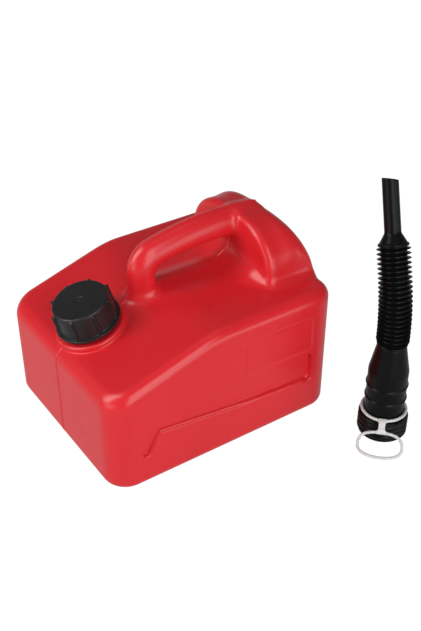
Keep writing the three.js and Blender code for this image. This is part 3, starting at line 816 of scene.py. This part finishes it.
# Fins outside and in, a power of a cosine along the length, swept along the leaning centre line
def buildBellows():
    length, ribs, wall = bellows["length"], bellows["ribs"], bellows["wall"]
    rows = ribs * bellows["rowsPerRib"]
    distance = np.linspace(0, length, rows + 1)
    wave = 0.5 - 0.5 * np.cos(2 * pi * distance / length * ribs)
    bulge = wave ** bellows["sharp"]
    outer = bellows["root"] + (bellows["crest"] - bellows["root"]) * bulge
    inner = outer - wall - bellows["crestWall"] * bulge
    radius = np.concatenate([outer, inner[::-1]])
    distance = np.concatenate([distance, distance[::-1]])
    columns = bellows["columns"]
    angle = np.arange(columns) / columns * 2 * pi
    x, z, heading = (v[:, None] for v in bellowsPlace(distance))
    across = radius[:, None] * np.cos(angle)
    points = np.stack([x + across * np.cos(heading), radius[:, None] * np.sin(angle) + 0 * x,
                       z - across * np.sin(heading)], axis=2).reshape(-1, 3)
    piece = meshFrom("bellowsShell", points, gridFaces(len(radius), columns, True))
    piece.data.transform(spoutMatrix())
    return finishEdges(piece, 60)


nozzle = {
    "length": 59.1,
    "collar": 13.6,
    "collarTop": 2.2,
    "shoulder": 12.2,
    "coneTop": 11,
    "radius": 7.3,
    "tip": 7.15,
    "wall": 1.4,
    "slant": 14,
    "slantAzimuth": 107,
    "slantLength": 14,
    "gap": 0.3,
    "columns": 96,
}


# Collar, cone and tube as one turned skin, whose end is sheared to a slant
def buildNozzle():
    n = nozzle
    outer = linePoints([
        (n["shoulder"], 0), (n["collar"] - 0.3, 0.2), (n["collar"], 0.6),
        (n["collar"], n["collarTop"] - 0.4), (n["collar"] - 0.4, n["collarTop"]),
        (n["shoulder"], n["collarTop"] + 0.6), (n["radius"] + 0.9, n["coneTop"] - 1.3),
        (n["radius"] + 0.25, n["coneTop"]), (n["radius"], n["coneTop"] + 1.6),
        (n["tip"] + 0.02, n["length"] - 0.4), (n["tip"] - 0.25, n["length"])], 1.5)
    inner = linePoints([
        (n["tip"] - n["wall"], n["length"]), (n["radius"] - n["wall"], n["coneTop"]),
        (spout["bore"], n["collarTop"]), (spout["bore"], 0)], 3)
    x, z, heading = map(float, bellowsPlace(bellows["length"] + n["gap"]))
    place = spoutMatrix() @ Matrix.Translation((x * mm, 0, z * mm))
    place = place @ Matrix.Rotation(heading, 4, "Y")
    piece = turnedSkin("nozzleShell", outer + inner, n["columns"], None, None, 45)
    # heights grow toward the high side of the tip
    places = pointsOf(piece)
    azimuth, slant = radians(n["slantAzimuth"]), np.tan(radians(n["slant"]))
    rise = (places[:, 0] * cos(azimuth) + places[:, 1] * sin(azimuth) - n["tip"]) * slant
    places[:, 2] += rise * ease(n["length"] - n["slantLength"], n["length"], places[:, 2])
    piece.data.vertices.foreach_set("co", (places * mm).ravel())
    piece.data.transform(place)
    return piece


# Strap

strap = {
    "azimuth": -136,
    "inner": 19.2,
    "band": 2.8,
    "thickness": 2.3,
    "edge": 1.0,
    "low": 23.4,
    "web": 6.2,
    "webStart": 20.5,
    "webReach": 25.3,
    "webBend": 2.2,
    "webEdge": 0.7,
    "fillet": 3.0,
    "nearZ": 15,
    "farZ": 4,
    "halfWidth": 20.2,
    "depth": 22,
    "squareness": 2.8,
    "cell": 0.7,
}


# Centre line of the free loop: a superellipse from the web out, sinking to the floor as a sine
def strapPath():
    s = strap
    angle = (np.arange(240) + 0.5) / 240 * 2 * pi
    power = 2 / np.where(np.cos(angle) > 0, s["squareness"], 2)
    share = 0.5 - 0.5 * np.sign(np.cos(angle)) * np.abs(np.cos(angle)) ** power
    y = s["halfWidth"] * np.sign(np.sin(angle)) * np.abs(np.sin(angle)) ** power
    x = s["webReach"] + s["thickness"] / 2 + s["depth"] * share
    z = s["nearZ"] - (s["nearZ"] - s["farZ"]) * np.sin(share * pi / 2)
    loop = np.stack([x, y, z], axis=1)
    gaps = np.linalg.norm(np.roll(loop, -1, axis=0) - loop, axis=1)
    along = np.concatenate([[0], np.cumsum(gaps)])
    even = np.arange(200) / 200 * along[-1]
    closed = np.vstack([loop, loop[:1]])
    return np.stack([np.interp(even, along, closed[:, i]) for i in range(3)], axis=1)


# Ring, web and free loop as one moulding with soft joins
def strapField(x, y, z):
    s = strap
    half, thin = s["band"] / 2, s["thickness"] / 2
    ringOff = np.hypot(x, y) - s["inner"] - half
    ring = roundBoth(np.abs(ringOff) - half, np.abs(z - s["low"] - thin) - thin, s["edge"])

    path = strapPath()
    flat = np.stack([x.ravel(), y.ravel(), z.ravel()], axis=1)
    best = np.full(len(flat), 1e9)
    pick = np.zeros(len(flat), int)
    for i, point in enumerate(path):
        gap = ((flat - point) ** 2).sum(axis=1)
        closer = gap < best
        best[closer], pick[closer] = gap[closer], i
    ahead = np.roll(path, -1, axis=0) - np.roll(path, 1, axis=0)
    ahead /= np.linalg.norm(ahead, axis=1)[:, None]
    centre = path.mean(axis=0)
    out = path - centre
    out[:, 2] = 0
    out -= (out * ahead).sum(axis=1)[:, None] * ahead
    out /= np.linalg.norm(out, axis=1)[:, None]
    up = np.cross(ahead, out)
    offset = flat - path[pick]
    offset -= (offset * ahead[pick]).sum(axis=1)[:, None] * ahead[pick]
    across = np.abs((offset * out[pick]).sum(axis=1)) - half
    above = np.abs((offset * up[pick]).sum(axis=1)) - thin
    loop = roundBoth(across, above, s["edge"]).reshape(x.shape)

    # the web goes out over the collar and straight down to the loop
    bendX, bendZ = s["webReach"] - s["webBend"], s["low"] + thin - s["webBend"]
    over = np.maximum(np.abs(z - s["low"] - thin) - thin, np.maximum(s["webStart"] - x, x - bendX))
    down = np.maximum(np.abs(x - s["webReach"]) - thin, np.maximum(s["nearZ"] - z, z - bendZ))
    corner = np.abs(np.hypot(x - bendX, z - bendZ) - s["webBend"]) - thin
    corner = np.maximum(corner, np.maximum(bendX - x, bendZ - z))
    sheet = np.minimum(np.minimum(over, down), corner)
    web = roundBoth(sheet, np.abs(y) - s["web"] / 2, s["webEdge"])
    return blendEither(blendEither(ring, web, s["fillet"]), loop, s["fillet"])


# The strap: a skin of that field, turned round the barrel
def buildStrap():
    points, quads = netSkin(strapField, (-24, -24, -1.5), (55, 24, 28), strap["cell"], 2)
    print("strap skin", len(quads), "quads")
    piece = meshFrom("strapBand", points, quads)
    foot = Matrix.Translation((spout["x"] * mm, spout["y"] * mm, 0))
    piece.data.transform(foot @ Matrix.Rotation(radians(strap["azimuth"]), 4, "Z"))
    return piece


# Materials

# A value in a shader: arithmetic on it adds Math nodes to its tree
class Term:
    def __init__(self, tree, socket):
        self.tree = tree
        self.socket = socket

    def math(self, operation, *values, clamp=False):
        settings = {"operation": operation, "use_clamp": clamp}
        return self.tree.add("ShaderNodeMath", settings, dict(enumerate(values)))

    def __add__(self, other):
        return self.math("ADD", self, other)

    def __sub__(self, other):
        return self.math("SUBTRACT", self, other)

    def __rsub__(self, other):
        return self.math("SUBTRACT", other, self)

    def __mul__(self, other):
        return self.math("MULTIPLY", self, other)

    __radd__ = __add__
    __rmul__ = __mul__

    # 0 at the start and 1 at the end, held beyond both
    def ramp(self, start, end):
        return self.math("ADD", (self - start) * (1 / (end - start)), 0.0, clamp=True)


# The nodes of a material or world. The add method makes each of them: the settings come first,
# then the values or links of its sockets
class ShaderTree:
    def __init__(self, owner):
        owner.use_nodes = True
        self.nodes = owner.node_tree.nodes
        self.links = owner.node_tree.links

    def add(self, kind, settings=None, sockets=None, output=0):
        node = self.nodes.new(kind)
        for name, value in (settings or {}).items():
            setattr(node, name, value)
        self.fill(node, sockets or {})
        return Term(self, node.outputs[output])

    def fill(self, node, sockets):
        for name, value in sockets.items():
            if isinstance(value, Term):
                self.links.new(value.socket, node.inputs[name])
            else:
                node.inputs[name].default_value = value


# A moulded plastic whose patterns are fixed to the piece's own coordinates
class Finish(ShaderTree):
    def __init__(self, name, constants):
        self.material = bpy.data.materials.new(name)
        super().__init__(self.material)
        self.shader = self.nodes["Principled BSDF"]
        self.place = self.add("ShaderNodeTexCoord", output="Object")
        self.normal = None
        self.set(constants)

    def set(self, sockets):
        self.fill(self.shader, sockets)

    def noise(self, scale, detail):
        sockets = {"Vector": self.place, "Scale": scale, "Detail": detail}
        return self.add("ShaderNodeTexNoise", None, sockets, "Fac")

    def tint(self, factor, dark, light):
        sockets = {"Factor": factor, "A": (*dark, 1), "B": (*light, 1)}
        color = self.add("ShaderNodeMix", {"data_type": "RGBA"}, sockets, "Result")
        self.set({"Base Color": color})

    # a further bump builds on the one before
    def bump(self, height, distance):
        sockets = {"Height": height, "Distance": distance}
        if self.normal:
            sockets["Normal"] = self.normal
        self.normal = self.add("ShaderNodeBump", None, sockets)
        self.set({"Normal": self.normal})


redPlastic = {
    "dark": (0.66, 0.0155, 0.0225),
    "light": (0.70, 0.0185, 0.0265),
    "roughness": 0.25,
    "specular": 0.44,
    "glow": 0.06,
    "glowReach": (0.004, 0.001, 0.001),
    "mottle": 9,
    "grain": 900,
    "waves": 60,
    "wave": 0.00002,
}
whitePlastic = {
    "dark": (0.62, 0.62, 0.615),
    "light": (0.67, 0.67, 0.665),
    "roughness": 0.38,
    "glow": 0.2,
    "glowReach": (0.002, 0.002, 0.002),
}
blackPlastic = {
    # shade, roughness and specular level
    "cap": (0.014, 0.28, 0.38),
    "spout": (0.004, 0.22, 0.13),
}


# Red polyethylene: two close reds in clouds, a slightly uneven gloss and very low waves
def tankFinish():
    red = redPlastic
    finish = Finish("tankPlastic", {
        "Specular IOR Level": red["specular"],
        "Subsurface Weight": red["glow"],
        "Subsurface Radius": red["glowReach"],
    })
    mottle = finish.noise(red["mottle"], 3)
    grain = finish.noise(red["grain"], 2)
    finish.tint(mottle.ramp(0.3, 0.7), red["dark"], red["light"])
    finish.set({"Roughness": red["roughness"] + mottle * 0.06 + grain * 0.01})
    finish.bump(grain, 0.0000004)
    finish.bump(finish.noise(red["waves"], 2), red["wave"])
    return finish.material


# Black plastic: a cloudy shade and gloss, and a fine grain
def blackFinish(name, shade, roughness, specular):
    finish = Finish(name, {"Specular IOR Level": specular})
    cloudy = finish.noise(30, 3)
    grain = finish.noise(1400, 2)
    dark = (shade * 0.85, shade * 0.85, shade * 0.85)
    light = (shade * 1.2, shade * 1.2, shade * 1.35)
    finish.tint(cloudy.ramp(0.3, 0.7), dark, light)
    finish.set({"Roughness": roughness + cloudy * 0.10 + grain * 0.06})
    finish.bump(grain, 0.00003)
    return finish.material


# White plastic: a little light goes through it
def strapFinish():
    white = whitePlastic
    finish = Finish("strapPlastic", {
        "Subsurface Weight": white["glow"],
        "Subsurface Radius": white["glowReach"],
    })
    cloudy = finish.noise(60, 3)
    finish.tint(cloudy.ramp(0.3, 0.7), white["dark"], white["light"])
    finish.set({"Roughness": white["roughness"] + cloudy * 0.12})
    finish.bump(finish.noise(900, 2), 0.00003)
    return finish.material


# Dark rubber with a fine grain
def sealFinish():
    finish = Finish("sealRubber", {"Base Color": (0.035, 0.035, 0.037, 1)})
    grain = finish.noise(700, 2)
    finish.set({"Roughness": 0.6 + grain * 0.2})
    finish.bump(grain, 0.00005)
    return finish.material


# Camera, floor and lamps

view = {
    "place": (-0.38834, -0.64131, 0.60518),
    "azimuth": -34.1214,
    "elevation": 34.4969,
    "focal": 960.22,  # in pixels of a picture 631 high
    "shiftY": -0.6,
    "height": 631,
    "sensor": 36,
}


# The camera looks back along one direction and keeps its sides level
def buildCamera():
    azimuth, elevation = radians(view["azimuth"]), radians(view["elevation"])
    back = Vector((sin(azimuth) * cos(elevation), -cos(azimuth) * cos(elevation), sin(elevation)))
    right = Vector((cos(azimuth), sin(azimuth), 0))
    turn = Matrix((right, back.cross(right), back)).transposed()
    camera = bpy.data.objects.new("Camera", bpy.data.cameras.new("Camera"))
    camera.matrix_world = Matrix.Translation(view["place"]) @ turn.to_4x4()
    camera.data.sensor_width = view["sensor"]
    camera.data.lens = view["focal"] / view["height"] * view["sensor"]
    camera.data.shift_y = view["shiftY"] / view["height"]
    camera.data.clip_start = 0.02
    camera.data.clip_end = 20
    bpy.context.scene.collection.objects.link(camera)
    bpy.context.scene.camera = camera


stage = {
    "reach": 6,
    "under": -0.0005,
    "floorShade": 0.8,
    "world": 0.14,
    "glossGlow": 0.45,
    "cameraGlow": 1.15,
    "cameraShare": 0.85,
    "centre": (0.03, -0.03, 0.1),
}
lamps = {
    # azimuth, elevation, distance, width, height, brightness where 1 is white
    "front": (-98, 19, 1.3, 0.7, 1.6, 3.5),
    "frontSoft": (-63, 5, 1.5, 0.9, 0.7, 2.4),
    "left": (163, 36, 1.3, 0.5, 1.1, 6.0),
    "leftLow": (186, 3, 1.6, 0.9, 0.5, 2.4),
    "rear": (77, 8, 1.6, 0.9, 0.4, 0.25),
    "top": (-30, 84, 1.3, 0.7, 0.7, 0.4),
}


# A dim white sky that the camera sees as plain white
def buildSky():
    world = bpy.data.worlds.new("World")
    bpy.context.scene.world = world
    sky = ShaderTree(world)
    white = (1, 1, 1, 1)
    dimNode = sky.nodes["Background"]
    sky.fill(dimNode, {"Color": white, "Strength": stage["world"]})
    dim = Term(sky, dimNode.outputs[0])
    bright = sky.add("ShaderNodeBackground", None, {"Color": white, "Strength": 1.0})
    seen = sky.add("ShaderNodeLightPath", output="Is Camera Ray")
    shown = sky.add("ShaderNodeMixShader", None, {0: seen, 1: dim, 2: bright})
    sky.fill(sky.nodes["World Output"], {"Surface": shown})


# A pale floor that glows for the camera and in gloss, and keeps part of the object's shadow
def buildFloor():
    paint = bpy.data.materials.new("studioWhite")
    tree = ShaderTree(paint)
    shader = tree.nodes["Principled BSDF"]
    shade = stage["floorShade"]
    tree.fill(shader, {"Base Color": (shade, shade, shade, 1), "Roughness": 0.9})
    surface = Term(tree, shader.outputs[0])
    glossRay = tree.add("ShaderNodeLightPath", output="Is Glossy Ray")
    cameraRay = tree.add("ShaderNodeLightPath", output="Is Camera Ray")
    inGloss = tree.add("ShaderNodeEmission", None, {"Strength": stage["glossGlow"]})
    inView = tree.add("ShaderNodeEmission", None, {"Strength": stage["cameraGlow"]})
    shown = tree.add("ShaderNodeMixShader", None, {0: glossRay, 1: surface, 2: inGloss})
    share = cameraRay * stage["cameraShare"]
    shown = tree.add("ShaderNodeMixShader", None, {0: share, 1: shown, 2: inView})
    tree.fill(tree.nodes["Material Output"], {"Surface": shown})

    reach, under = stage["reach"], stage["under"]
    corners = [(-reach, -reach, under), (reach, -reach, under)]
    corners += [(reach, reach, under), (-reach, reach, under)]
    mesh = bpy.data.meshes.new("studioFloor")
    mesh.from_pydata(corners, [], [(0, 1, 2, 3)])
    floor = bpy.data.objects.new("studioFloor", mesh)
    floor.data.materials.append(paint)
    bpy.context.scene.collection.objects.link(floor)


# A soft rectangular lamp that faces the centre. Its power grows with its area
def addLamp(name, azimuth, elevation, distance, width, height, brightness):
    light = bpy.data.lights.new(name, "AREA")
    light.shape = "RECTANGLE"
    light.size = width
    light.size_y = height
    light.energy = brightness * pi * width * height
    lamp = bpy.data.objects.new(name, light)
    turn, lift = radians(azimuth), radians(elevation)
    toward = Vector((cos(turn) * cos(lift), sin(turn) * cos(lift), sin(lift)))
    lamp.location = Vector(stage["centre"]) + toward * distance
    lamp.rotation_mode = "QUATERNION"
    lamp.rotation_quaternion = toward.to_track_quat("Z", "Y")
    lamp.visible_camera = False
    bpy.context.scene.collection.objects.link(lamp)


# Standard colours, then the camera, the sky, the floor and the lamps
def buildStage():
    bpy.context.scene.view_settings.view_transform = "Standard"
    buildCamera()
    buildSky()
    buildFloor()
    for name, settings in lamps.items():
        addLamp(name, *settings)
    print("stage done")


# The pieces on their bodies

# Gives a piece its body and material, and hides the CAD nodes whose place it takes
def give(piece, body, material, slotName, *nodes):
    piece.data.materials.clear()
    piece.data.materials.append(material)
    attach(piece, body)
    if nodes:
        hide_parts(*nodes)


# The bellows, built already bent, takes its material and the CAD bellows' place, and keeps its
# transform baked into its mesh on no body
def blendBellows(piece, material):
    piece.data.materials.append(material)
    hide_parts("spout_bellows")
    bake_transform(piece)


buildStage()
tankRed = tankFinish()
capBlack = blackFinish("capPlastic", *blackPlastic["cap"])
spoutBlack = blackFinish("spoutPlastic", *blackPlastic["spout"])
strapWhite = strapFinish()
print("materials done")

give(buildTank(), "tank", tankRed, "tank_plastic", "tank_body")
give(buildCap(), "cap", capBlack, "cap_plastic", "screw_cap")
print("cap done")
give(buildSpoutBase(), "spout", spoutBlack, "spout_plastic", "spout_base")
give(buildNozzle(), "spout tip", spoutBlack, "spout_plastic", "spout_nozzle")
blendBellows(buildBellows(), spoutBlack)
print("spout done")
give(buildStrap(), "strap", strapWhite, "strap_plastic", "tether_strap")
print("strap done")

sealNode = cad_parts["cap_seal"]  # the seal keeps its CAD mesh
sealNode.data.materials.clear()
sealNode.data.materials.append(sealFinish())
